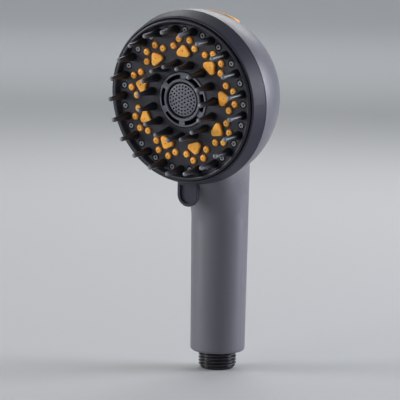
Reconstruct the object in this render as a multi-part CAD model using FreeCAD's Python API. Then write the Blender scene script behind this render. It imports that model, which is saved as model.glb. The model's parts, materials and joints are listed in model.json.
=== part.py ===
import FreeCAD, Part
import math
import os
from FreeCAD import Placement, Rotation, Vector

# Handheld shower head, in millimetres.
# World frame: the origin is the centre of the inlet thread's free end, +Z runs up the handle's axis,
# and the spray face looks along -Y, leaning slightly down.
# Head frame: its origin is the centre of the spray face at the level of the small nozzles' tips,
# its z (called w here) points out of the face, its x is the world's X and its y points up the face.

# ---------------------------------------------------------------- driving dimensions
# inlet thread, G1/2
THREAD_R = 20.955 / 2
THREAD_ROOT_R = 18.631 / 2
THREAD_PITCH = 1.814
THREAD_RIDGES = 5
THREAD_LAND = 0.45
LEAD_IN_R = 8.75  # the free end narrows to this radius
LEAD_IN_TOP_Z = 2.6
INLET_BORE_R = 7.25
INLET_BORE_DEPTH = 3.0
FILTER_R = 6.4
FILTER_TOP_Z = 4.8
RESTRICTOR_R = 5.9
RESTRICTOR_TOP_Z = 8.0

# handle
HANDLE_Z = 10.0
HANDLE_BOTTOM_R = 15.1
HANDLE_TAPER = 0.0088
HANDLE_TOP_Z = 150.0
HANDLE_EDGE_R = 1.9
HANDLE_SOCKET_R = 12.0
HANDLE_SOCKET_TOP_Z = 34.0
WALL = 2.2
NECK_BLEND_R = 36.0

# head placement
TILT = 5.64
FACE_Y = -39.22
FACE_Z = 151.95
PATTERN = 85.5  # direction of the face pattern's symmetry axis
LEVER = PATTERN + 180.8  # where the lever points

# dome of the rear housing
DOME_W = -8.3
DOME_R = 47.6
DOME_DEPTH = 48.5

# spray plate and rim
PLATE_FRONT_W = -0.3
PLATE_BACK_W = -2.5
PLATE_HOLE_R = 15.4
RIM_INNER_R = 40.8
RIM_OUTER_R = 43.8
RIM_CREST_W = 2.5
SKIRT_INNER_R = 40.2
SKIRT_BACK_W = -5.4

# mode ring and its lever
RING_BORE_R = 44.25
RING_FRONT_R = 45.45
RING_FRONT_W = 1.1
RING_BACK_R = 47.55
RING_BACK_W = -7.9
RING_GROOVE_W = -1.4
LEVER_WIDTH = 12.7
LEVER_TIP_R = 60.3
LEVER_FRONT_W = -5.7
LEVER_BACK_W = -8.4
LEVER_BORDER = 1.7
LEVER_RECESS = 1.3

# nozzles and bristles
PAWS = 9
PAD_R = 26.9
PAD_W = 1.46
TOE_PLACES = ((33.11, 5.84), (33.11, -5.84), (29.55, 13.03), (29.55, -13.03))
TOE_STUD_R = 2.0
TOE_W = 0.95
STUD_HOLE_R = 0.3
STUD_GAP = 0.12
EDGE_NOZZLES = 21
EDGE_NOZZLE_R = 38.13
OUTER_BRISTLES = 21
OUTER_BRISTLE_R = 38.27
INNER_BRISTLES = 15
INNER_BRISTLE_R = 19.93
BRISTLE_TIP_W = 14.24
BRISTLE_PIN_R = 1.3
MAT_BACK_W = -4.0

# centre insert
CENTRE_RING_R = 15.0
CENTRE_SLOTS = 6
CENTRE_SLOT_ANGLE = 44.0
CENTRE_SLOT_R = (11.5, 13.8)
CENTRE_BORE_R = 10.0
CENTRE_DISC_R = 8.9
CENTRE_HOLE_ROWS = ((0.0, 1), (2.05, 6), (4.0, 12), (5.85, 18), (7.6, 24))
CENTRE_HOLE_R = 0.52
CENTRE_FLANGE_W = -2.95  # top of the flange that holds the perforated disc in the ring

# turning back disc and fixed chamber
DISC_FRONT_W = -7.0
DISC_BACK_W = -10.5
DISC_R = 44.6
HUB_R = 6.0
HUB_CLEARANCE = 0.08
PORT_R = 29.0
PORT_HOLE_R = 2.6
MODE_ANGLES = (-40.0, -20.0, 0.0, 20.0, 40.0)
CHAMBER_FRONT_W = -11.0
CHAMBER_PLATE_W = -14.5
CHAMBER_R = 43.0
DRUM_R = 33.0
DRUM_BACK_W = -26.0
BACK_DRUM_R = 16.0
BACK_DRUM_W = -47.0
CHAMBER_WALL = 2.5
SCREW_CIRCLE_R = 39.3
SCREW_ANGLES = (35.0, 145.0, 215.0, 325.0)
DETENT_R = 36.0
DETENT_ANGLE = 270.0
BALL_R = 2.0
BALL_REST_GAP = 0.3
BALL_TRAVEL = 0.8
FACE_SCREWS = 6
FACE_SCREW_CIRCLE_R = 42.3

# water tube in the handle
TUBE_R = 6.4
TUBE_BORE_R = 5.0
TUBE_FIT = 0.05
TUBE_BOTTOM_Z = 24.2
TUBE_TOP_Z = 126.0
SEAL_GROOVES_Z = (29.3, 120.0)
SEAL_GROOVE_R = 8.0

# orange jet strip on the dome's top
JET_HALF_LENGTH = 18.6
JET_HALF_WIDTH = 6.2
JET_W = -28.4
JET_CROWN_R = 52.5  # flatter than the dome, so the ends of the strip stand prouder
JET_CROWN_DEPTH = 53.0
JET_CROWN_DROP = 4.6
JET_GAP = 0.12
JET_HOLES = 7
JET_SPIGOT_W = -31.4
JET_DUCT_DEPTH = 5.4

HEAD = Placement(Vector(0, FACE_Y, FACE_Z), Rotation(Vector(1, 0, 0), 90 + TILT))
W_AXIS = Vector(0, 0, 1)
CENTRE = Vector(0, 0, 0)


# ---------------------------------------------------------------- helpers
def polar(radius, degrees, w=0.0):
    angle = math.radians(degrees)
    return Vector(radius * math.cos(angle), radius * math.sin(angle), w)


def turned(points):
    """Solid of revolution about z, from a closed outline of (radius, height) corners."""
    corners = [Vector(r, 0, h) for r, h in points]
    face = Part.Face(Part.makePolygon(corners + corners[:1]))
    return face.revolve(CENTRE, W_AXIS, 360)


def turned_edges(edges):
    """Solid of revolution about z, from edges that close an outline in the x-z plane."""
    return Part.Face(Part.Wire(edges)).revolve(CENTRE, W_AXIS, 360)


def disc(radius, low, high, at=CENTRE):
    return Part.makeCylinder(radius, high - low, Vector(at.x, at.y, low), W_AXIS)


def tube(outer, inner, low, high, at=CENTRE):
    return disc(outer, low, high, at).cut(disc(inner, low - 1, high + 1, at))


def torus(major, minor, height, at=CENTRE):
    return Part.makeTorus(major, minor, Vector(at.x, at.y, height), W_AXIS)


def turn(shape, degrees):
    copy = shape.copy()
    copy.rotate(CENTRE, W_AXIS, degrees)
    return copy


def around(shape, count, start):
    """Copies of a shape spaced evenly about z, the first one turned by start degrees."""
    return [turn(shape, start + 360.0 * k / count) for k in range(count)]


def line(a, b):
    return Part.makeLine(Vector(a[0], 0, a[1]), Vector(b[0], 0, b[1]))


def arc(a, through, b):
    return Part.Arc(*[Vector(p[0], 0, p[1]) for p in (a, through, b)]).toShape()


def round_edges(shape, radius, wanted):
    return shape.makeFillet(radius, [e for e in shape.Edges if wanted(e)])


def stadium(half_length, half_width, low, high):
    """Prism with two round ends, long in x, about z."""
    straight = half_length - half_width
    left = Vector(-straight, 0, 0)
    right = Vector(straight, 0, 0)
    box = Part.makeBox(2 * straight, 2 * half_width, high - low, Vector(-straight, -half_width, low))
    return box.multiFuse([disc(half_width, low, high, left), disc(half_width, low, high, right)]).removeSplitter()


def coil(mean_r, wire_r, low, high, half_turns, at=CENTRE):
    """Round-wire compression spring about z, wound from half turns that lean to and fro."""
    rise = (high - low - 2 * wire_r) / half_turns
    pieces = []
    side = 1
    for k in range(half_turns):
        start = Vector(side * mean_r, 0, low + wire_r + k * rise)
        end = Vector(-side * mean_r, 0, start.z + rise)
        section = Part.Face(Part.Wire(Part.makeCircle(wire_r, start, Vector(0, 1, 0))))
        pieces.append(section.revolve((start + end) / 2, Vector(side * rise, 0, 2 * mean_r), 180))
        side = -side
    spring = pieces[0].multiFuse(pieces[1:])
    spring.translate(Vector(at.x, at.y, 0))
    return spring


def half_ellipsoid(radius, depth, w):
    """Solid dome that reaches from the plane at w back by depth."""
    pole = Vector(0, 0, w - depth)
    edge = Vector(radius, 0, w)
    middle = Vector(0, 0, w)
    ellipse = Part.Ellipse(pole, edge, middle)
    curve = Part.ArcOfEllipse(ellipse, 0, math.pi / 2).toShape()
    return turned_edges([curve, Part.makeLine(edge, middle), Part.makeLine(middle, pole)])


def in_head(shape):
    copy = shape.copy()
    copy.Placement = HEAD.multiply(copy.Placement)
    return copy


def handle_r(z):
    return HANDLE_BOTTOM_R + (z - HANDLE_Z) * HANDLE_TAPER


def handle_cone(inset, low, high):
    return Part.makeCone(handle_r(low) - inset, handle_r(high) - inset, high - low, Vector(0, 0, low), W_AXIS)


# ---------------------------------------------------------------- housing
def jet_prism(grow):
    """The jet strip's outline, run up the head from inside the dome."""
    prism = stadium(JET_HALF_LENGTH + grow, JET_HALF_WIDTH + grow, 0, DOME_R + 8)
    prism.rotate(CENTRE, Vector(1, 0, 0), -90)
    prism.translate(Vector(0, 0, JET_W))
    return prism


def rear_housing():
    outer = half_ellipsoid(DOME_R, DOME_DEPTH, DOME_W)
    handle = round_edges(
        handle_cone(0, HANDLE_Z, HANDLE_TOP_Z), HANDLE_EDGE_R, lambda e: abs(e.BoundBox.ZMax - HANDLE_Z) < 0.01)
    body = in_head(outer).fuse(handle)
    dome_edges = [e for f in body.Faces if isinstance(f.Surface, Part.SurfaceOfRevolution) for e in f.Edges]
    cone_edges = [e for f in body.Faces if isinstance(f.Surface, Part.Cone) for e in f.Edges]
    neck = [e for e in dome_edges if any(e.isSame(other) for other in cone_edges)]
    body = body.makeFillet(NECK_BLEND_R, neck)

    inside = in_head(inner_dome(0))
    bore = handle_cone(WALL, HANDLE_SOCKET_TOP_Z, HANDLE_TOP_Z)
    socket = disc(HANDLE_SOCKET_R, HANDLE_Z - 1, HANDLE_SOCKET_TOP_Z)
    slot = in_head(jet_prism(JET_GAP))
    body = body.cut([inside, bore, socket, slot])

    posts = []
    pilots = []
    for angle in SCREW_ANGLES:
        at = polar(SCREW_CIRCLE_R, angle)
        posts.append(in_head(disc(3.0, -45, CHAMBER_PLATE_W - 0.1, at).common(outer)))
        pilots.append(in_head(disc(1.2, -25, CHAMBER_PLATE_W, at)))
    return body.fuse(posts).cut(pilots)


def inlet_connector():
    flange_z = HANDLE_Z + 0.3
    top_z = HANDLE_SOCKET_TOP_Z - 0.4
    body = disc(THREAD_ROOT_R, 0, flange_z).fuse(disc(HANDLE_SOCKET_R - 0.05, flange_z, top_z))
    ridges = []
    for k in range(THREAD_RIDGES):
        middle = 1.3 + k * THREAD_PITCH
        half = THREAD_LAND / 2
        flank = (THREAD_PITCH - THREAD_LAND) / 2
        low = middle - half - flank * 0.8
        high = middle + half + flank * 0.8
        ridges.append(turned([
            (THREAD_ROOT_R - 0.5, low), (THREAD_ROOT_R, low), (THREAD_R, middle - half),
            (THREAD_R, middle + half), (THREAD_ROOT_R, high), (THREAD_ROOT_R - 0.5, high)]))
    body = body.fuse(ridges).common(turned([
        (0, 0), (LEAD_IN_R, 0), (THREAD_R, LEAD_IN_TOP_Z), (HANDLE_SOCKET_R, LEAD_IN_TOP_Z),
        (HANDLE_SOCKET_R, top_z), (0, top_z)]))
    bores = [
        disc(INLET_BORE_R, -1, INLET_BORE_DEPTH),
        disc(FILTER_R + 0.1, -1, FILTER_TOP_Z),
        disc(RESTRICTOR_R + 0.1, -1, RESTRICTOR_TOP_Z),
        disc(TUBE_BORE_R, -1, top_z + 1),
        disc(TUBE_R + TUBE_FIT, TUBE_BOTTOM_Z - 0.1, top_z + 1),
        tube(HANDLE_SOCKET_R + 1, 10.3, 17.6, 20.4),
        seal_groove(SEAL_GROOVES_Z[0]),
    ]
    return body.cut(bores).removeSplitter()


def seal_groove(z):
    """Ring to cut for a seal around the water tube."""
    return tube(SEAL_GROOVE_R, TUBE_R - 1, z - 1.3, z + 1.3)


def connector_o_ring():
    return torus(11.14, 0.82, 19.0)


def inlet_filter():
    bottom = FILTER_TOP_Z - 1.6
    sieve_top = FILTER_TOP_Z - 0.8
    sieve = disc(FILTER_R, bottom, sieve_top).fuse(tube(FILTER_R, FILTER_R - 0.8, sieve_top, FILTER_TOP_Z))
    holes = [disc(0.45, bottom - 1, FILTER_TOP_Z, polar(r, 360.0 * k / n))
             for r, n in ((0, 1), (1.6, 6), (3.2, 12), (4.8, 18)) for k in range(n)]
    return sieve.cut(holes).removeSplitter()


def flow_restrictor():
    plate = disc(RESTRICTOR_R, FILTER_TOP_Z + 0.4, RESTRICTOR_TOP_Z)
    return plate.cut([disc(0.8, 0, RESTRICTOR_TOP_Z + 1, polar(3.6, 60.0 * k)) for k in range(6)])


def water_tube():
    return tube(TUBE_R, TUBE_BORE_R, TUBE_BOTTOM_Z, TUBE_TOP_Z)


def tube_o_rings():
    section_r = 0.76
    return Part.makeCompound([torus(SEAL_GROOVE_R - section_r - 0.04, section_r, z) for z in SEAL_GROOVES_Z])


def port_place():
    return polar(PORT_R, PATTERN)


def detent_place(turned_by=0.0):
    return polar(DETENT_R, DETENT_ANGLE + turned_by)


def water_chamber():
    port = port_place()
    detent = detent_place()
    plate = disc(CHAMBER_R, CHAMBER_PLATE_W, CHAMBER_FRONT_W)
    drum = disc(DRUM_R, DRUM_BACK_W, CHAMBER_PLATE_W)
    back_drum = disc(BACK_DRUM_R, BACK_DRUM_W, DRUM_BACK_W)
    hub = disc(HUB_R, CHAMBER_FRONT_W, -7.5)
    detent_cup = disc(3.6, -24.0, CHAMBER_PLATE_W, detent)
    outside = plate.multiFuse([drum, back_drum, hub, detent_cup])
    socket = disc(9.6, 113, 143)
    outside = in_head(outside).fuse(socket)

    hollow = disc(DRUM_R - CHAMBER_WALL, DRUM_BACK_W + CHAMBER_WALL, CHAMBER_PLATE_W - CHAMBER_WALL)
    hollow = hollow.fuse(disc(BACK_DRUM_R - CHAMBER_WALL, BACK_DRUM_W + CHAMBER_WALL, -18))
    hub_core = disc(5.5, -24.5, -17)
    port_cup = disc(6.4, -22.0, -17, port)
    hollow = hollow.cut([hub_core, port_cup])
    tube_bore = disc(TUBE_R + TUBE_FIT, 112, TUBE_TOP_Z + 0.2)
    tube_way = disc(TUBE_BORE_R, 120, 145)
    cuts = [
        in_head(hollow), tube_bore, tube_way, seal_groove(SEAL_GROOVES_Z[1]),
        in_head(disc(4.6, -20.5, -10, port)),
        in_head(disc(2.6, -23.0, -20, port)),
        in_head(disc(2.5, -23.0, -5)),
        in_head(tube(HUB_R + 1, 5.0, -9.8, -8.7)),
        in_head(disc(2.15, -22.2, -10, detent)),
        in_head(jet_spigot(0.05)),
    ]
    for angle in SCREW_ANGLES:
        at = polar(SCREW_CIRCLE_R, angle)
        cuts.append(in_head(disc(1.6, -16, -10, at)))
        cuts.append(in_head(disc(3.1, -13, -10, at)))
    return outside.cut(cuts)


def chamber_screws():
    screws = []
    for angle in SCREW_ANGLES:
        at = polar(SCREW_CIRCLE_R, angle)
        screw = disc(2.9, -13.0, -11.35, at).fuse(disc(1.15, -24.5, -13.0, at))
        screws.append(screw.cut(cross_slot(at, -11.35, 1.9)))
    return in_head(Part.makeCompound(screws))


def cross_slot(at, face, reach, depth=0.9):
    """Cross recess for a driver, cut back from the plane at face."""
    bars = []
    for size in ((2 * reach, 0.6), (0.6, 2 * reach)):
        corner = Vector(at.x - size[0] / 2, at.y - size[1] / 2, face - depth)
        bars.append(Part.makeBox(size[0], size[1], depth + 1, corner))
    return bars[0].fuse(bars[1])


def port_seal():
    body = disc(4.5, -15.4, DISC_BACK_W - 0.05).cut(disc(PORT_HOLE_R, -16, -10))
    body.translate(port_place())
    return in_head(body)


def port_spring():
    return in_head(coil(3.6, 0.35, -20.45, -15.45, 7, port_place()))


def ball_w():
    return DISC_BACK_W - BALL_REST_GAP - BALL_R


def detent_ball():
    at = detent_place()
    return in_head(Part.makeSphere(BALL_R, Vector(at.x, at.y, ball_w())))


def detent_spring():
    return in_head(coil(1.6, 0.3, -22.15, ball_w() - BALL_R - 0.05, 9, detent_place()))


def jet_nozzle():
    crown = half_ellipsoid(JET_CROWN_R, JET_CROWN_DEPTH, DOME_W).translated(Vector(0, -JET_CROWN_DROP, 0))
    strip = jet_prism(0).common(crown).cut(inner_dome(2.0))
    strip = round_edges(strip, 0.7, lambda e: on_surface(e, crown))
    spacing = 2 * (JET_HALF_LENGTH - JET_HALF_WIDTH) / (JET_HOLES - 1)
    holes = []
    for k in range(JET_HOLES):
        x = (k - (JET_HOLES - 1) / 2) * spacing
        holes.append(Part.makeCylinder(0.55, 40, Vector(x, 20, JET_W), Vector(0, 1, 0)))
    return in_head(strip.cut(holes))


def on_surface(edge, solid):
    middle = edge.valueAt((edge.FirstParameter + edge.LastParameter) / 2)
    outer_face = max(solid.Faces, key=lambda f: f.Area)
    return outer_face.distToShape(Part.Vertex(middle))[0] < 0.01


def jet_spigot(grow):
    return Part.makeCylinder(4.0 + grow, 22.0 + grow, Vector(0, 14.0 - grow, JET_SPIGOT_W), Vector(0, 1, 0))


def inner_dome(inset):
    """The dome's ellipsoid, shrunk from its inside surface by inset."""
    return half_ellipsoid(DOME_R - WALL - inset, DOME_DEPTH - WALL - inset, DOME_W)


def jet_duct():
    """Curved funnel under the jet strip, fed by a spigot from the chamber."""
    funnel = stadium(JET_HALF_LENGTH - 2.0, JET_HALF_WIDTH - 0.8, 20, 50)
    hollow = stadium(JET_HALF_LENGTH - 3.4, JET_HALF_WIDTH - 2.2, 20, 51)
    for prism in (funnel, hollow):
        prism.rotate(CENTRE, Vector(1, 0, 0), -90)
        prism.translate(Vector(0, 0, JET_W))
    funnel = funnel.cut(inner_dome(2.05 + JET_DUCT_DEPTH))
    hollow = hollow.cut(inner_dome(0.65 + JET_DUCT_DEPTH))
    way = Part.makeCylinder(2.8, 20, Vector(0, 13.0, JET_SPIGOT_W), Vector(0, 1, 0))
    return in_head(funnel.fuse(jet_spigot(0)).common(inner_dome(2.05)).cut([hollow, way]))


def pivot_screw():
    head = disc(4.4, -6.7, -4.4)
    shank = disc(2.45, -22.5, -6.7)
    return in_head(head.fuse(shank).cut(cross_slot(CENTRE, -4.4, 2.6, 1.2)))


def pivot_washer():
    return in_head(tube(8.4, 2.6, -7.45, -6.75))


def hub_o_ring():
    return in_head(torus(5.5, 0.46, -9.25))


# ---------------------------------------------------------------- turning spray face
def pad_prism(grow, low, high):
    """One paw pad: a triangle with round corners, its apex pointing away from the centre."""
    corners = [Vector(PAD_R + 1.35, 0, low), Vector(PAD_R - 1.35, 2.25, low), Vector(PAD_R - 1.35, -2.25, low)]
    outline = Part.makePolygon(corners + corners[:1]).makeOffset2D(1.9 + grow)
    return Part.Face(outline).extrude(Vector(0, 0, high - low))


def paw_places():
    return [PATTERN + 360.0 * k / PAWS for k in range(PAWS)]


def bristle_angles(count):
    """Bristles stand midway between the pattern's axis and its neighbours."""
    return [PATTERN + 360.0 * (k + 0.5) / count for k in range(count)]


def plate_blank():
    edges = [
        line((PLATE_HOLE_R, PLATE_BACK_W), (PLATE_HOLE_R, PLATE_FRONT_W)),
        line((PLATE_HOLE_R, PLATE_FRONT_W), (RIM_INNER_R, PLATE_FRONT_W)),
        line((RIM_INNER_R, PLATE_FRONT_W), (41.7, 1.7)),
        arc((41.7, 1.7), (42.9, RIM_CREST_W), (RIM_OUTER_R, 1.5)),
        line((RIM_OUTER_R, 1.5), (RIM_OUTER_R, SKIRT_BACK_W)),
        line((RIM_OUTER_R, SKIRT_BACK_W), (SKIRT_INNER_R, SKIRT_BACK_W)),
        line((SKIRT_INNER_R, SKIRT_BACK_W), (SKIRT_INNER_R, PLATE_BACK_W)),
        line((SKIRT_INNER_R, PLATE_BACK_W), (PLATE_HOLE_R, PLATE_BACK_W)),
    ]
    return turned_edges(edges)


def face_plate():
    below = PLATE_BACK_W - 1
    above = PLATE_FRONT_W + 1
    cuts = []
    for angle in paw_places():
        cuts.append(turn(pad_prism(STUD_GAP, below, above), angle))
        for radius, offset in TOE_PLACES:
            cuts.append(disc(TOE_STUD_R + STUD_GAP, below, above, polar(radius, angle + offset)))
    for k in range(EDGE_NOZZLES):
        at = polar(EDGE_NOZZLE_R, PATTERN + 360.0 * k / EDGE_NOZZLES)
        cuts.append(disc(1.8, below, above, at))
        cuts.append(disc(2.15, PLATE_FRONT_W - 1.3, above, at))
    for radius, count in ((OUTER_BRISTLE_R, OUTER_BRISTLES), (INNER_BRISTLE_R, INNER_BRISTLES)):
        cuts += [disc(BRISTLE_PIN_R, below, above, polar(radius, a)) for a in bristle_angles(count)]
    for k in range(FACE_SCREWS):
        cuts.append(disc(1.05, SKIRT_BACK_W - 1, SKIRT_BACK_W + 4.5, face_screw_place(k)))
    return in_head(plate_blank().cut(cuts))


def face_screw_place(k):
    return polar(FACE_SCREW_CIRCLE_R, PATTERN + 30 + 360.0 * k / FACE_SCREWS)


def lever_slab(inset, low, high, start_r):
    """Tab that points along +x with a round end."""
    half = LEVER_WIDTH / 2 - inset
    tip_centre = LEVER_TIP_R - LEVER_WIDTH / 2
    box = Part.makeBox(tip_centre - start_r, 2 * half, high - low, Vector(start_r, -half, low))
    return box.fuse(disc(half, low, high, Vector(tip_centre, 0, 0))).removeSplitter()


def mode_ring():
    front = RING_FRONT_W
    land_r = RIM_OUTER_R + 0.03
    outline = [
        (RING_FRONT_R, front - 0.7), (RING_BACK_R, RING_BACK_W + 0.2), (RING_BACK_R - 0.2, RING_BACK_W),
        (44.7, RING_BACK_W), (44.7, DISC_FRONT_W), (SKIRT_INNER_R, DISC_FRONT_W), (SKIRT_INNER_R, SKIRT_BACK_W),
        (land_r, SKIRT_BACK_W), (land_r, RING_GROOVE_W), (RING_BORE_R, RING_GROOVE_W),
        (RING_BORE_R, front - 0.2), (RING_BORE_R + 0.2, front)]
    edges = [line(a, b) for a, b in zip(outline, outline[1:])]
    edges.append(line(outline[-1], (RING_FRONT_R - 0.7, front)))
    edges.append(arc((RING_FRONT_R - 0.7, front), (RING_FRONT_R - 0.2, front - 0.2), outline[0]))
    cone = turned_edges(edges)
    root = lever_slab(0, RING_BACK_W, LEVER_FRONT_W, 45.0)
    tab = lever_slab(0, LEVER_BACK_W, LEVER_FRONT_W, 48.7)
    lever = root.fuse(tab).removeSplitter()
    lever = round_edges(lever, 0.45, lambda e: abs(e.BoundBox.ZMin - LEVER_FRONT_W) < 0.01
                        and abs(e.BoundBox.ZMax - LEVER_FRONT_W) < 0.01 and e.BoundBox.XMax > 46)
    recess = lever_slab(LEVER_BORDER, LEVER_FRONT_W - LEVER_RECESS, LEVER_FRONT_W + 1, 48.6)
    lever = lever.cut(recess)
    ring = cone.fuse(turn(lever, LEVER))
    holes = [disc(1.2, DISC_FRONT_W - 1, SKIRT_BACK_W + 1, face_screw_place(k)) for k in range(FACE_SCREWS)]
    return in_head(ring.cut(holes).removeSplitter())


def paw_nozzles():
    mat = tube(35.2, 23.2, MAT_BACK_W, PLATE_BACK_W)
    pad = round_edges(
        pad_prism(0, PLATE_BACK_W - 0.5, PAD_W), 0.8, lambda e: e.BoundBox.ZMin > PAD_W - 0.01)
    toe = round_edges(disc(TOE_STUD_R, PLATE_BACK_W - 0.5, TOE_W), 1.1, lambda e: e.BoundBox.ZMin > TOE_W - 0.01)
    studs = []
    ways = []
    for angle in paw_places():
        studs.append(turn(pad, angle))
        ways.append(disc(STUD_HOLE_R, -5, 3, polar(PAD_R, angle)))
        for radius, offset in TOE_PLACES:
            at = polar(radius, angle + offset)
            studs.append(toe.translated(at))
            ways.append(disc(STUD_HOLE_R, -5, 3, at))
    return in_head(mat.fuse(studs).cut(ways))


def ring_nozzles():
    mat = tube(40.0, 36.5, MAT_BACK_W, PLATE_BACK_W)
    cones = []
    ways = []
    for k in range(EDGE_NOZZLES):
        at = polar(EDGE_NOZZLE_R, PATTERN + 360.0 * k / EDGE_NOZZLES, PLATE_BACK_W - 0.5)
        cones.append(Part.makeCone(1.65, 1.4, 0.5 - PLATE_BACK_W, at, W_AXIS))
        ways.append(disc(0.5, -5, 1, at))
    return in_head(mat.fuse(cones).cut(ways))


def bristle():
    """One massage pin: a shank in the plate, a bulb at its root and a slim round-ended tip."""
    tip_r = 1.25
    tip_w = BRISTLE_TIP_W - tip_r
    side = Part.BSplineCurve()
    side.interpolate([Vector(2.4, 0, 0.6), Vector(2.0, 0, 3.2), Vector(1.4, 0, 8.2), Vector(tip_r, 0, tip_w)])
    diagonal = tip_r * math.sqrt(0.5)
    edges = [
        line((0, PLATE_BACK_W), (BRISTLE_PIN_R - 0.03, PLATE_BACK_W)),
        line((BRISTLE_PIN_R - 0.03, PLATE_BACK_W), (BRISTLE_PIN_R - 0.03, PLATE_FRONT_W)),
        line((BRISTLE_PIN_R - 0.03, PLATE_FRONT_W), (2.3, PLATE_FRONT_W)),
        line((2.3, PLATE_FRONT_W), (2.4, 0.6)),
        side.toShape(),
        arc((tip_r, tip_w), (diagonal, tip_w + diagonal), (0, BRISTLE_TIP_W)),
        line((0, BRISTLE_TIP_W), (0, PLATE_BACK_W)),
    ]
    return turned_edges(edges)


def bristles(count, radius):
    pin = bristle()
    return in_head(Part.makeCompound([pin.translated(polar(radius, a)) for a in bristle_angles(count)]))


def centre_ring():
    under = CENTRE_FLANGE_W + 0.05
    body = turned([
        (CENTRE_BORE_R, under), (CENTRE_BORE_R, 0.7), (CENTRE_BORE_R + 0.3, 1.0), (11.2, 1.0), (11.5, 0.7),
        (11.5, 0.2), (14.7, 0.2), (CENTRE_RING_R, -0.1), (CENTRE_RING_R, PLATE_BACK_W), (16.9, PLATE_BACK_W),
        (16.9, -4.4), (10.8, -4.4), (10.8, under)])
    inner_r, outer_r = CENTRE_SLOT_R
    wedge = Part.makeCylinder(outer_r, 8, Vector(0, 0, -6), W_AXIS, CENTRE_SLOT_ANGLE)
    wedge = wedge.cut(disc(inner_r, -7, 3))
    slots = around(wedge, CENTRE_SLOTS, PATTERN + 30 - CENTRE_SLOT_ANGLE / 2)
    return in_head(body.cut(slots))


def centre_disc():
    inner_r = CENTRE_DISC_R - 0.6
    flange_r = 10.7
    under = CENTRE_FLANGE_W - 0.75
    corners = [
        (CENTRE_DISC_R - 0.1, 0.2), (CENTRE_DISC_R, 0.0), (CENTRE_DISC_R, CENTRE_FLANGE_W),
        (flange_r, CENTRE_FLANGE_W), (flange_r, under), (inner_r, under), (inner_r, -0.9), (0, -0.9), (0, 0.75)]
    edges = [arc(corners[-1], (4.6, 0.62), corners[0])]
    edges += [line(a, b) for a, b in zip(corners, corners[1:])]
    holes = []
    for radius, count in CENTRE_HOLE_ROWS:
        holes += [disc(CENTRE_HOLE_R, -2, 2, polar(radius, PATTERN + 360.0 * k / count)) for k in range(count)]
    return in_head(turned_edges(edges).cut(holes))


def centre_clip_ring():
    top = CENTRE_FLANGE_W - 0.8
    return in_head(tube(10.75, 9.0, top - 0.6, top))


def chamber_gasket():
    base = tube(40.0, 9.4, DISC_FRONT_W, -6.4)
    walls = [tube(23.0, 21.6, -6.4, PLATE_BACK_W), tube(36.4, 35.4, -6.4, PLATE_BACK_W)]
    gasket = base.multiFuse(walls)
    holes = [disc(PORT_HOLE_R, -8, -6, polar(r, PATTERN + a)) for r, a in gasket_holes()]
    return in_head(gasket.cut(holes))


def gasket_holes():
    """Where each mode's water leaves the back disc: paws, edge, centre, and the two mixed modes."""
    return ((PORT_R, 40.0), (38.0, 20.0), (PORT_R, 0.0), (17.0, -20.0), (PORT_R, -40.0))


def diverter_disc():
    body = disc(DISC_R, DISC_BACK_W, DISC_FRONT_W)
    cuts = [
        disc(HUB_R + HUB_CLEARANCE, -12, -6),
        disc(9.0, -7.6, -6),
        tube(41.05, 40.31, -7.9, -6),
    ]
    for radius, angle in gasket_holes():
        cuts.append(disc(PORT_HOLE_R - 0.2, -12, -8.6, polar(PORT_R, PATTERN + angle)))
        cuts.append(channel(radius, angle))
    for angle in MODE_ANGLES:
        at = detent_place(-angle)
        cuts.append(Part.makeSphere(BALL_R + 0.3, Vector(at.x, at.y, ball_w() + BALL_TRAVEL)))
    for k in range(FACE_SCREWS):
        cuts.append(disc(1.2, -12, -6, face_screw_place(k)))
        cuts.append(disc(2.0, -12, -9.0, face_screw_place(k)))
    return in_head(body.cut(cuts))


def channel(radius, angle):
    """Groove in the back disc's front, from the port circle to the radius where the water goes."""
    low = min(radius, PORT_R)
    high = max(radius, PORT_R)
    half = PORT_HOLE_R - 0.2
    groove = Part.makeBox(high - low + 0.01, 2 * half, 2.0, Vector(low, -half, -8.6))
    ends = [disc(half, -8.6, -6.6, Vector(r, 0, 0)) for r in (low, high)]
    return turn(groove.multiFuse(ends), PATTERN + angle)


def face_o_ring():
    return in_head(torus(40.68, 0.36, -7.45))


def face_screws():
    screws = []
    for k in range(FACE_SCREWS):
        at = face_screw_place(k)
        screw = disc(1.9, -10.4, -9.0, at).fuse(disc(1.0, -9.0, -1.6, at))
        head_down = cross_slot(at, -10.4 + 0.7, 1.3, 1.7)
        screws.append(screw.cut(head_down))
    return in_head(Part.makeCompound(screws))


# ---------------------------------------------------------------- output
NODES = {
    "rear_housing": rear_housing,
    "inlet_connector": inlet_connector,
    "connector_o_ring": connector_o_ring,
    "inlet_filter": inlet_filter,
    "flow_restrictor": flow_restrictor,
    "water_tube": water_tube,
    "tube_o_rings": tube_o_rings,
    "water_chamber": water_chamber,
    "chamber_screws": chamber_screws,
    "port_seal": port_seal,
    "port_spring": port_spring,
    "detent_ball": detent_ball,
    "detent_spring": detent_spring,
    "jet_nozzle": jet_nozzle,
    "jet_duct": jet_duct,
    "pivot_screw": pivot_screw,
    "pivot_washer": pivot_washer,
    "hub_o_ring": hub_o_ring,
    "face_plate": face_plate,
    "mode_ring": mode_ring,
    "paw_nozzles": paw_nozzles,
    "ring_nozzles": ring_nozzles,
    "outer_bristles": lambda: bristles(OUTER_BRISTLES, OUTER_BRISTLE_R),
    "inner_bristles": lambda: bristles(INNER_BRISTLES, INNER_BRISTLE_R),
    "centre_ring": centre_ring,
    "centre_disc": centre_disc,
    "centre_clip_ring": centre_clip_ring,
    "chamber_gasket": chamber_gasket,
    "diverter_disc": diverter_disc,
    "face_o_ring": face_o_ring,
    "face_screws": face_screws,
}

os.makedirs("parts", exist_ok=True)
for node, make in NODES.items():
    solid = make()
    print(node, solid.isValid(), len(solid.Solids), round(solid.Volume, 1))
    solid.exportStep("parts/" + node + ".step")
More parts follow.
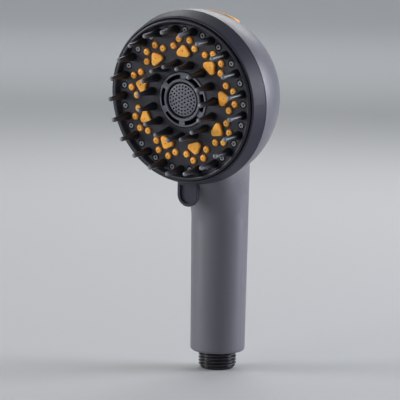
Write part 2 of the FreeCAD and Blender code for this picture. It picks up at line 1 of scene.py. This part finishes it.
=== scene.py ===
import json
import math

import bmesh
import bpy
from mathutils import Matrix, Vector


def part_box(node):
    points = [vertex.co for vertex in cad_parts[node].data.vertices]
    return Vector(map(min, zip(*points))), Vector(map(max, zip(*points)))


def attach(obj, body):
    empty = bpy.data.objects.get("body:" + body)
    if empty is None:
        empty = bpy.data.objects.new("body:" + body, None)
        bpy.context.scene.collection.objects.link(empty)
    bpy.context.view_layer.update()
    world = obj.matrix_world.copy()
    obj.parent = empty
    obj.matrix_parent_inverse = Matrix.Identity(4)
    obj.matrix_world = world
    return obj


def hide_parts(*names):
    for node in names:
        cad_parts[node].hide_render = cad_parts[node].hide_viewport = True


# Handheld shower head: looks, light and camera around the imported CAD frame. Everything is in metres.
MM = 0.001

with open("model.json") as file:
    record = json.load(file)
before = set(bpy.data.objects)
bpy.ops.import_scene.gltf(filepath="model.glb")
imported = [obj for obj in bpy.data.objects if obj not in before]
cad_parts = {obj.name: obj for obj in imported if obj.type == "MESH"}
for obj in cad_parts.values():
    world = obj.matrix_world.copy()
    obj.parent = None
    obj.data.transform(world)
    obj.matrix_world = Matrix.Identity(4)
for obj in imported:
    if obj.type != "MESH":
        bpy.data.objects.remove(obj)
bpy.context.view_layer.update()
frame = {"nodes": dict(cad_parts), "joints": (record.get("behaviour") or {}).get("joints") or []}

# The head frame: its origin is the centre of the spray face, W points out of the face and V up the face.
turn_joint = next(j for j in frame["joints"] if j["name"] == "spray_face_turn")
HEAD = Vector(turn_joint["pos_m"])
W = Vector(turn_joint["axis"]).normalized()
U = Vector((1, 0, 0))
V = W.cross(U)

# ---------------------------------------------------------------- measures of the object
# Heights out of the face where a colour starts to turn and where it ends. Up the bristles this is painted
# light; at the studs' feet and in the plate's and centre's low places it is painted shade.
BRISTLE_PAINTED_LIGHT = (0.0, 14.24 * MM)
STUD_PAINTED_SHADE = (-0.5 * MM, 1.0 * MM)
PLATE_PAINTED_SHADE = (-0.9 * MM, -0.35 * MM)
CENTRE_PAINTED_SHADE = (-0.8 * MM, 0.1 * MM)

# The inlet's G1/2 thread.
PITCH = 1.814 * MM
THREAD_ROOT_R = 9.3155 * MM
THREAD_CREST_R = 10.4775 * MM
THREAD_START_Z = 0.3 * MM
THREAD_FIRST_Z = 1.3 * MM  # a crest's height at angle 0
THREAD_LAST_Z = 8.6 * MM  # the ridge starts to fade here
THREAD_FADE = 1.1 * MM
THREAD_TOP_Z = THREAD_LAST_Z + 1.2 * MM
CREST_PART = 0.12  # share of half a pitch, from a crest's middle, that stays at full height
FLANK_PART = 0.92  # share of half a pitch where the flank reaches the root
LEAD_IN_R = 8.75 * MM  # the free end narrows to this radius
LEAD_IN_TOP_Z = 2.6 * MM
THREAD_SIDES = 160
THREAD_ROWS_PER_PITCH = 26
THREAD_SHARP = 38  # degrees

# The rest of the connector, outside and inside.
EDGE = 0.3 * MM
LEAD_IN_EDGE = 0.25 * MM
FLANGE_Z = 10.3 * MM
SEAL_GROOVE_R = 10.3 * MM
SEAL_GROOVE_Z = (17.6 * MM, 20.4 * MM)
INLET_BORE_R = 7.25 * MM
INLET_BORE_TOP_Z = 3.0 * MM
FILTER_BORE_R = 6.5 * MM
FILTER_TOP_Z = 4.8 * MM
RESTRICTOR_BORE_R = 6.0 * MM
RESTRICTOR_TOP_Z = 8.0 * MM
WATERWAY_R = 5.0 * MM
TUBE_SOCKET_R = 6.45 * MM
TUBE_SOCKET_Z = 24.1 * MM

# ---------------------------------------------------------------- camera
CAMERA_AZIMUTH = math.radians(32.92)
CAMERA_ELEVATION = math.radians(7.57)
CAMERA_ROLL = math.radians(1.0)
CAMERA_DISTANCE = 1.411
CAMERA_AIM_RIGHT = -9.49 * MM
CAMERA_AIM_UP = 93.04 * MM
CAMERA_REACH = 50
SENSOR = 36.0
FOCAL_LENGTH = 228.24


def direction(azimuth, elevation):
    """Unit vector towards a viewer: azimuth 0 stands in front of the face, and positive is towards +X."""
    flat = math.cos(elevation)
    return Vector((math.sin(azimuth) * flat, -math.cos(azimuth) * flat, math.sin(elevation)))


def make_camera():
    back = direction(CAMERA_AZIMUTH, CAMERA_ELEVATION)
    level = Vector((math.cos(CAMERA_AZIMUTH), math.sin(CAMERA_AZIMUTH), 0))
    rise = back.cross(level)
    cosine = math.cos(CAMERA_ROLL)
    sine = math.sin(CAMERA_ROLL)
    right = level * cosine + rise * sine
    up = rise * cosine - level * sine
    data = bpy.data.cameras.new("camera")
    data.sensor_width = SENSOR
    data.lens = FOCAL_LENGTH
    data.clip_end = CAMERA_REACH
    camera = bpy.data.objects.new("camera", data)
    place = right * CAMERA_AIM_RIGHT + up * CAMERA_AIM_UP + back * CAMERA_DISTANCE
    turned = Matrix((right, up, back)).transposed().to_4x4()
    camera.matrix_world = Matrix.Translation(place) @ turned
    bpy.context.scene.collection.objects.link(camera)
    bpy.context.scene.camera = camera


# ---------------------------------------------------------------- mesh helpers
def ring_of_points(mesh, radius, height, sides):
    """Adds a level ring of points about z. The radius is a length, or a function of the angle."""
    ring = []
    for k in range(sides):
        angle = 2 * math.pi * k / sides
        r = radius(angle) if callable(radius) else radius
        ring.append(mesh.verts.new((r * math.cos(angle), r * math.sin(angle), height)))
    return ring


def join_rings(mesh, low, high):
    """Adds a band of faces between two rings of as many points."""
    for k in range(len(low)):
        m = (k + 1) % len(low)
        mesh.faces.new((low[k], low[m], high[m], high[k]))


def finish_mesh(name, mesh, sharp_degrees):
    """Object from a bmesh, shaded smooth, with its edges sharp where the surface turns more than that."""
    bmesh.ops.recalc_face_normals(mesh, faces=mesh.faces)
    for face in mesh.faces:
        face.smooth = True
    for edge in mesh.edges:
        edge.smooth = edge.is_manifold and edge.calc_face_angle(0) < math.radians(sharp_degrees)
    data = bpy.data.meshes.new(name)
    mesh.to_mesh(data)
    mesh.free()
    piece = bpy.data.objects.new(name, data)
    bpy.context.scene.collection.objects.link(piece)
    return piece


# ---------------------------------------------------------------- stage and light
STAGE_CENTRE_R = 0.4
STAGE_FLAT_R = 3.0
STAGE_CURVE_R = 1.6
STAGE_CURVE_STEPS = 16
STAGE_WALL = 1.2
STAGE_SIDES = 96
STAGE_SHARP = 60  # degrees
PAPER_RANGE = (0.3, 3.6)  # distances from the object between which the paper's tone can change
PAPER_TURN = 0.35  # share of that range where the tone starts to change
FAR_PAPER = 3.2  # distance behind the object of the paper that the wash lights
AIM = Vector((0, -0.015, 0.11))
BOX_SPREAD = 90  # degrees: the side boxes throw little light on the paper next to them
COOL_WHITE = (0.97, 0.985, 1.0)
WORLD_STRENGTH = 0.47
FLAG_ELEVATION = math.radians(38)
FLAG_EDGE = (0.1, 0.7)  # cosines of the angle from the flag's middle, at its outer and inner edge
FLAG_LEAK = 0.1  # share of the world's light that comes through the flag


def make_stage():
    """A round studio bowl: a flat pale floor that curves up into a wall on every side."""
    profile = [(STAGE_CENTRE_R, 0.0), (STAGE_FLAT_R, 0.0)]
    for k in range(1, STAGE_CURVE_STEPS + 1):
        angle = math.pi / 2 * k / STAGE_CURVE_STEPS
        radius = STAGE_FLAT_R + STAGE_CURVE_R * math.sin(angle)
        profile.append((radius, STAGE_CURVE_R * (1 - math.cos(angle))))
    profile.append((STAGE_FLAT_R + STAGE_CURVE_R, STAGE_CURVE_R + STAGE_WALL))
    mesh = bmesh.new()
    rings = [ring_of_points(mesh, radius, height, STAGE_SIDES) for radius, height in profile]
    mesh.faces.new(rings[0])
    for low, high in zip(rings, rings[1:]):
        join_rings(mesh, low, high)
    floor = finish_mesh("studio_floor", mesh, STAGE_SHARP)
    floor.data.materials.append(stage_material())


def soft_light(name, azimuth, elevation, distance, size, power, colour=(1, 1, 1), target=AIM, spread=180):
    """Area light that looks at a target, and stands azimuth degrees to the right of the camera."""
    data = bpy.data.lights.new(name, "AREA")
    data.shape = "RECTANGLE"
    data.size = size[0]
    data.size_y = size[1]
    data.energy = power
    data.color = colour
    data.spread = math.radians(spread)
    lamp = bpy.data.objects.new(name, data)
    towards = direction(CAMERA_AZIMUTH + math.radians(azimuth), math.radians(elevation))
    lamp.location = AIM + towards * distance
    lamp.rotation_euler = (lamp.location - target).to_track_quat("Z", "Y").to_euler()
    bpy.context.scene.collection.objects.link(lamp)


def make_lights():
    soft_light("left_box", azimuth=-86, elevation=12, distance=1.9, size=(1.0, 0.85), power=6.9,
               colour=(1.0, 0.99, 0.98), spread=BOX_SPREAD)
    soft_light("right_box", azimuth=97, elevation=12, distance=1.9, size=(1.2, 0.85), power=11.4,
               colour=(0.90, 0.92, 1.0), spread=BOX_SPREAD)
    soft_light("top_box", azimuth=170, elevation=34, distance=1.2, size=(1.0, 0.5), power=5.0)
    soft_light("face_fill", azimuth=-46, elevation=20, distance=1.3, size=(0.5, 0.5), power=2.0)
    # this one looks at the paper far behind the object
    soft_light("paper_wash", azimuth=180, elevation=34, distance=2.3, size=(2.4, 1.2), power=17.0,
               colour=COOL_WHITE, target=direction(CAMERA_AZIMUTH + math.pi, 0) * FAR_PAPER)


def make_world():
    """Even light, with a dark flag hung in front of the object and above it."""
    world = bpy.data.worlds.new("studio")
    world.use_nodes = True
    tree = world.node_tree
    background = tree.nodes["Background"]
    background.inputs["Color"].default_value = (*COOL_WHITE, 1)
    place = tree.nodes.new("ShaderNodeTexCoord")
    facing = tree.nodes.new("ShaderNodeVectorMath")
    facing.operation = "DOT_PRODUCT"
    facing.inputs[1].default_value = direction(CAMERA_AZIMUTH, FLAG_ELEVATION)
    tree.links.new(place.outputs["Generated"], facing.inputs[0])
    flag = tree.nodes.new("ShaderNodeMapRange")
    flag.interpolation_type = "SMOOTHSTEP"
    flag.inputs["From Min"].default_value = FLAG_EDGE[0]
    flag.inputs["From Max"].default_value = FLAG_EDGE[1]
    flag.inputs["To Min"].default_value = WORLD_STRENGTH
    flag.inputs["To Max"].default_value = WORLD_STRENGTH * FLAG_LEAK
    tree.links.new(facing.outputs["Value"], flag.inputs["Value"])
    tree.links.new(flag.outputs["Result"], background.inputs["Strength"])
    bpy.context.scene.world = world
    bpy.context.scene.view_settings.view_transform = "Standard"


# ---------------------------------------------------------------- materials
NOISE_LOW, NOISE_HIGH = 0.3, 0.7  # a noise texture seldom leaves this range
# painted shade: the near-black colour put in low places where shade falls
PAINTED_SHADE = (0.003, 0.003, 0.004)


def new_material(name, colour, roughness, **inputs):
    """Principled material. Values that are the same all over sit on the shader's own sockets."""
    material = bpy.data.materials.new(name)
    material.use_nodes = True
    shader = material.node_tree.nodes["Principled BSDF"]
    shader.inputs["Base Color"].default_value = (*colour, 1)
    shader.inputs["Roughness"].default_value = roughness
    for key, value in inputs.items():
        shader.inputs[key.replace("_", " ")].default_value = value
    return material


def shade(colour, factor):
    return tuple(c * factor for c in colour)


class Nodes:
    """Short ways to add texture nodes to a material, all in the object's own coordinates."""

    def __init__(self, material):
        self.tree = material.node_tree
        self.shader = self.tree.nodes["Principled BSDF"]
        self.place = self.add("ShaderNodeTexCoord").outputs["Object"]

    def add(self, kind, **settings):
        node = self.tree.nodes.new(kind)
        for key, value in settings.items():
            setattr(node, key, value)
        return node

    def link(self, output, socket):
        self.tree.links.new(output, socket)

    # Coordinates.
    def stretched(self, stretch):
        scaled = self.add("ShaderNodeMapping")
        scaled.inputs["Scale"].default_value = stretch
        self.link(self.place, scaled.inputs["Vector"])
        return scaled.outputs["Vector"]

    def head_place(self):
        """Coordinates in the head frame, with its z out of the face."""
        moved = self.add("ShaderNodeMapping", vector_type="TEXTURE")
        moved.inputs["Location"].default_value = HEAD
        moved.inputs["Rotation"].default_value = Matrix((U, V, W)).transposed().to_euler()
        self.link(self.place, moved.inputs["Vector"])
        return moved.outputs["Vector"]

    # Values.
    def ranged(self, value, low, high, to_low=0.0, to_high=1.0):
        """A value moved to run from to_low to to_high while it goes from low to high."""
        ranged = self.add("ShaderNodeMapRange")
        ranged.inputs["From Min"].default_value = low
        ranged.inputs["From Max"].default_value = high
        ranged.inputs["To Min"].default_value = to_low
        ranged.inputs["To Max"].default_value = to_high
        self.link(value, ranged.inputs["Value"])
        return ranged.outputs["Result"]

    def out_of_face(self, low, high):
        """0 at or below the height low above the face's plane, 1 at or above high."""
        split = self.add("ShaderNodeSeparateXYZ")
        self.link(self.head_place(), split.inputs["Vector"])
        return self.ranged(split.outputs["Z"], low, high)

    def off_centre(self, low, high, stretch=(1, 1, 1)):
        """0 at the distance low from the origin, 1 at high."""
        away = self.add("ShaderNodeVectorMath", operation="LENGTH")
        self.link(self.stretched(stretch), away.inputs[0])
        return self.ranged(away.outputs["Value"], low, high)

    def noise(self, scale, detail, place=None):
        noise = self.add("ShaderNodeTexNoise")
        noise.inputs["Scale"].default_value = scale
        noise.inputs["Detail"].default_value = detail
        self.link(place or self.place, noise.inputs["Vector"])
        return noise.outputs["Fac"]

    # Colours.
    def ramp(self, factor, stops):
        """Colour ramp from (position, colour) stops."""
        ramp = self.add("ShaderNodeValToRGB")
        elements = ramp.color_ramp.elements
        while len(elements) < len(stops):
            elements.new(0.5)
        for element, (position, colour) in zip(elements, stops):
            element.position = position
            element.color = (*colour, 1)
        self.link(factor, ramp.inputs["Fac"])
        return ramp.outputs["Color"]

    def clouded(self, noise, dull, bright):
        """A noise texture's value turned into a tone between two colours."""
        return self.ramp(noise, [(NOISE_LOW, dull), (NOISE_HIGH, bright)])

    def mixed(self, factor, first, second):
        """Colours mixed by a factor: the first is plain, the second comes from a node."""
        mix = self.add("ShaderNodeMix", data_type="RGBA")
        self.link(factor, mix.inputs["Factor"])
        mix.inputs["A"].default_value = (*first, 1)
        self.link(second, mix.inputs["B"])
        return mix.outputs["Result"]

    # Links to the shader.
    def colour(self, output):
        self.link(output, self.shader.inputs["Base Color"])

    def worn(self, noise, low, high):
        """Roughness that a noise texture moves between two values."""
        self.link(self.ranged(noise, NOISE_LOW, NOISE_HIGH, low, high), self.shader.inputs["Roughness"])

    def grain(self, noise, strength, depth):
        """Fine relief from a noise texture, that many metres deep."""
        bump = self.add("ShaderNodeBump")
        bump.inputs["Strength"].default_value = strength
        bump.inputs["Distance"].default_value = depth
        self.link(noise, bump.inputs["Height"])
        self.link(bump.outputs["Normal"], self.shader.inputs["Normal"])


def moulded(name, colour, roughness, grain, depth=0.000015, contrast=0.06, **inputs):
    """Moulded plastic or rubber: fine texture of the mould, slight cloudiness, and fine rub marks."""
    material = new_material(name, colour, roughness, **inputs)
    nodes = Nodes(material)
    cloud = nodes.noise(38.0, 4.0)
    nodes.colour(nodes.clouded(cloud, shade(colour, 1 - contrast), shade(colour, 1 + contrast)))
    rub = nodes.noise(420.0, 5.0, nodes.stretched((1.0, 1.0, 0.12)))
    nodes.worn(rub, roughness - 0.04, roughness + 0.05)
    nodes.grain(nodes.noise(grain, 2.0), 0.35, depth)
    return material


def shell_material():
    """Soft-touch slate paint: very fine pebbling and a slow change in tone."""
    return moulded("shell_paint", (0.123, 0.122, 0.146), 0.40, 3200.0, 0.00002, 0.04,
                   Sheen_Weight=0.10, Sheen_Roughness=0.4)


def ring_material():
    return moulded("ring_graphite", (0.031, 0.031, 0.047), 0.46, 3000.0, 0.000012, 0.05,
                   Specular_IOR_Level=0.24)


def plate_material():
    """Near-black plate with a slow change in tone, and painted shade in its low places."""
    colour = (0.021, 0.021, 0.030)
    material = new_material("plate_charcoal", colour, 0.42, Specular_IOR_Level=0.34)
    nodes = Nodes(material)
    head = nodes.head_place()
    cloud = nodes.clouded(nodes.noise(60.0, 4.0, head), shade(colour, 0.85), shade(colour, 1.2))
    # painted shade: the plate turns near black below the face's plane, in its counterbores and gaps
    nodes.colour(nodes.mixed(nodes.out_of_face(*PLATE_PAINTED_SHADE), PAINTED_SHADE, cloud))
    nodes.worn(nodes.noise(300.0, 5.0, head), 0.32, 0.46)
    nodes.grain(nodes.noise(2800.0, 2.0, head), 0.35, 0.000015)
    return material


def orange_material(name, shadow=None):
    """Soft silicone: light scatters in it and its skin has a fine matt grain. With shadow, a stud's side
    darkens to that colour where it meets the plate, as painted shade."""
    dull, middle, bright = (0.88, 0.34, 0.022), (0.96, 0.42, 0.04), (1.0, 0.51, 0.075)
    material = new_material(name, middle, 0.36, Subsurface_Weight=0.3, Subsurface_Scale=0.0008,
                            Subsurface_Radius=(1.0, 0.45, 0.12))
    nodes = Nodes(material)
    cloud = nodes.clouded(nodes.noise(240.0, 3.0), dull, bright)
    if shadow:
        # painted shade: the stud's side darkens towards the plate
        cloud = nodes.mixed(nodes.out_of_face(*STUD_PAINTED_SHADE), shadow, cloud)
    nodes.colour(cloud)
    nodes.worn(nodes.noise(700.0, 4.0), 0.30, 0.44)
    nodes.grain(nodes.noise(4200.0, 2.0), 0.3, 0.00001)
    return material


def centre_material():
    """Graphite insert, with painted shade making its grooves and slots dark."""
    colour = (0.122, 0.124, 0.154)
    material = new_material("centre_graphite", colour, 0.30)
    nodes = Nodes(material)
    cloud = nodes.clouded(nodes.noise(90.0, 4.0), shade(colour, 0.93), shade(colour, 1.07))
    # painted shade: the insert turns near black below the face's plane
    nodes.colour(nodes.mixed(nodes.out_of_face(*CENTRE_PAINTED_SHADE), PAINTED_SHADE, cloud))
    nodes.worn(nodes.noise(500.0, 5.0), 0.26, 0.38)
    nodes.grain(nodes.noise(3000.0, 2.0), 0.35, 0.000015)
    return material


def thread_material():
    """Glossy black nylon, with painted shade making the grooves deep black and painted light making the
    crests greyer.
    """
    material = new_material("thread_gloss", (0.014, 0.014, 0.017), 0.2)
    nodes = Nodes(material)
    crests = nodes.off_centre(THREAD_ROOT_R, THREAD_CREST_R, (1, 1, 0))
    # painted shade in the grooves and painted light on the crests
    nodes.colour(nodes.ramp(crests, [(0.1, PAINTED_SHADE), (0.9, (0.032, 0.032, 0.038))]))
    nodes.worn(nodes.noise(600.0, 4.0), 0.16, 0.26)
    nodes.grain(nodes.noise(2400.0, 2.0), 0.3, 0.000006)
    return material


def bristle_material():
    """Elastomer pins, near black at the thick root; the blue-grey up the shaft is painted light and the
    pale tip a painted highlight.
    """
    material = new_material("bristle_elastomer", (0.05, 0.053, 0.065), 0.36, Specular_IOR_Level=0.36)
    nodes = Nodes(material)
    # painted light: the pins lighten up the shaft, with a painted highlight at the tip
    nodes.colour(nodes.ramp(nodes.out_of_face(*BRISTLE_PAINTED_LIGHT), [
        (0.0, (0.010, 0.010, 0.012)), (0.35, (0.016, 0.017, 0.021)), (0.6, (0.045, 0.05, 0.065)),
        (0.86, (0.085, 0.092, 0.115)), (1.0, (0.24, 0.25, 0.28))]))
    nodes.worn(nodes.noise(900.0, 4.0), 0.28, 0.42)
    nodes.grain(nodes.noise(3600.0, 2.0), 0.25, 0.00001)
    return material


def steel_material():
    """Stainless steel with fine drawing lines across z."""
    colour = (0.60, 0.60, 0.61)
    material = new_material("stainless", colour, 0.28, Metallic=1.0)
    nodes = Nodes(material)
    lines = nodes.noise(500.0, 4.0, nodes.stretched((1.0, 1.0, 9.0)))
    nodes.colour(nodes.clouded(lines, shade(colour, 0.88), colour))
    nodes.worn(lines, 0.2, 0.38)
    nodes.grain(lines, 0.15, 0.00001)
    return material


def stage_material():
    """Paper that is a little greyer under the object than far off: painted shade for the lesser light that
    reaches it there.
    """
    near, far = (0.56, 0.57, 0.58), (0.74, 0.77, 0.80)
    material = new_material("studio_paper", near, 0.85)
    nodes = Nodes(material)
    # painted shade near the object, fading to the paper's own pale tone far off
    nodes.colour(nodes.ramp(nodes.off_centre(*PAPER_RANGE), [(PAPER_TURN, near), (1.0, far)]))
    nodes.worn(nodes.noise(1.2, 2.0), 0.82, 0.88)
    return material


def paint(material, *names):
    for name in names:
        node = frame["nodes"][name]
        node.data.materials.clear()
        node.data.materials.append(material)


def paint_nodes():
    paint(shell_material(), "rear_housing")
    paint(ring_material(), "mode_ring")
    paint(plate_material(), "face_plate")
    # the second value is the painted shade at the feet of the paw studs
    paint(orange_material("silicone_amber", (0.34, 0.09, 0.008)), "paw_nozzles")
    paint(orange_material("silicone_amber_strip"), "jet_nozzle")
    paint(bristle_material(), "outer_bristles", "inner_bristles")
    paint(moulded("silicone_smoke", (0.17, 0.175, 0.19), 0.4, 3600.0), "ring_nozzles")
    paint(centre_material(), "centre_ring", "centre_disc")
    acetal = moulded("acetal", (0.72, 0.72, 0.69), 0.45, 2400.0,
                     Subsurface_Weight=0.05, Subsurface_Scale=0.001)
    paint(acetal, "flow_restrictor", "water_tube", "water_chamber", "jet_duct", "centre_clip_ring",
          "diverter_disc")
    rubber = moulded("seal_rubber", (0.022, 0.022, 0.023), 0.5, 3000.0, 0.00002)
    paint(rubber, "connector_o_ring", "tube_o_rings", "port_seal", "hub_o_ring", "chamber_gasket",
          "face_o_ring")
    paint(steel_material(), "inlet_filter", "chamber_screws", "port_spring", "detent_ball", "detent_spring",
          "pivot_screw", "pivot_washer", "face_screws")


# ---------------------------------------------------------------- threaded inlet
def smooth(low, high, value):
    """Smooth step: 0 up to low, 1 from high on."""
    t = min(1.0, max(0.0, (value - low) / (high - low)))
    return t * t * (3 - 2 * t)


def thread_radius(height):
    """Radius about the axis of a right-hand thread at that height, as a function of the angle."""
    lead_in = LEAD_IN_R + (THREAD_CREST_R - LEAD_IN_R) * min(1.0, height / LEAD_IN_TOP_Z)
    fade_out = 1 - smooth(THREAD_LAST_Z, THREAD_LAST_Z + THREAD_FADE, height)

    def radius(angle):
        phase = ((height - THREAD_FIRST_Z) / PITCH - angle / (2 * math.pi)) % 1.0
        from_crest = min(phase, 1 - phase) * 2
        ridge = 1 - smooth(CREST_PART, FLANK_PART, from_crest)
        return min(lead_in, THREAD_ROOT_R + (THREAD_CREST_R - THREAD_ROOT_R) * ridge * fade_out)

    return radius


def threaded_inlet():
    """The connector with its real helical thread, lead-in, bores, seal groove and flange."""
    low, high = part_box("inlet_connector")
    top = high.z
    flange_r = (high.x - low.x) / 2
    mouth = [(INLET_BORE_R, INLET_BORE_TOP_Z), (INLET_BORE_R, EDGE), (INLET_BORE_R + EDGE, 0.0),
             (LEAD_IN_R - LEAD_IN_EDGE, 0.0)]
    thread = []
    for k in range(int((THREAD_TOP_Z - THREAD_START_Z) / PITCH * THREAD_ROWS_PER_PITCH) + 1):
        height = THREAD_START_Z + k * PITCH / THREAD_ROWS_PER_PITCH
        thread.append((thread_radius(height), height))
    body = [(THREAD_ROOT_R, FLANGE_Z), (flange_r - EDGE, FLANGE_Z), (flange_r, FLANGE_Z + EDGE),
            (flange_r, SEAL_GROOVE_Z[0]), (SEAL_GROOVE_R, SEAL_GROOVE_Z[0]),
            (SEAL_GROOVE_R, SEAL_GROOVE_Z[1]), (flange_r, SEAL_GROOVE_Z[1]),
            (flange_r, top - EDGE), (flange_r - EDGE, top)]
    bores = [(TUBE_SOCKET_R, top), (TUBE_SOCKET_R, TUBE_SOCKET_Z), (WATERWAY_R, TUBE_SOCKET_Z),
             (WATERWAY_R, RESTRICTOR_TOP_Z), (RESTRICTOR_BORE_R, RESTRICTOR_TOP_Z),
             (RESTRICTOR_BORE_R, FILTER_TOP_Z), (FILTER_BORE_R, FILTER_TOP_Z),
             (FILTER_BORE_R, INLET_BORE_TOP_Z)]
    rows = mouth + thread + body + bores
    mesh = bmesh.new()
    rings = [ring_of_points(mesh, radius, height, THREAD_SIDES) for radius, height in rows]
    for lower, upper in zip(rings, rings[1:] + rings[:1]):
        join_rings(mesh, lower, upper)
    piece = finish_mesh("threaded_inlet", mesh, THREAD_SHARP)
    piece.data.materials.append(thread_material())
    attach(piece, "housing")
    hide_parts("inlet_connector")


make_camera()
make_stage()
make_lights()
make_world()
paint_nodes()
threaded_inlet()
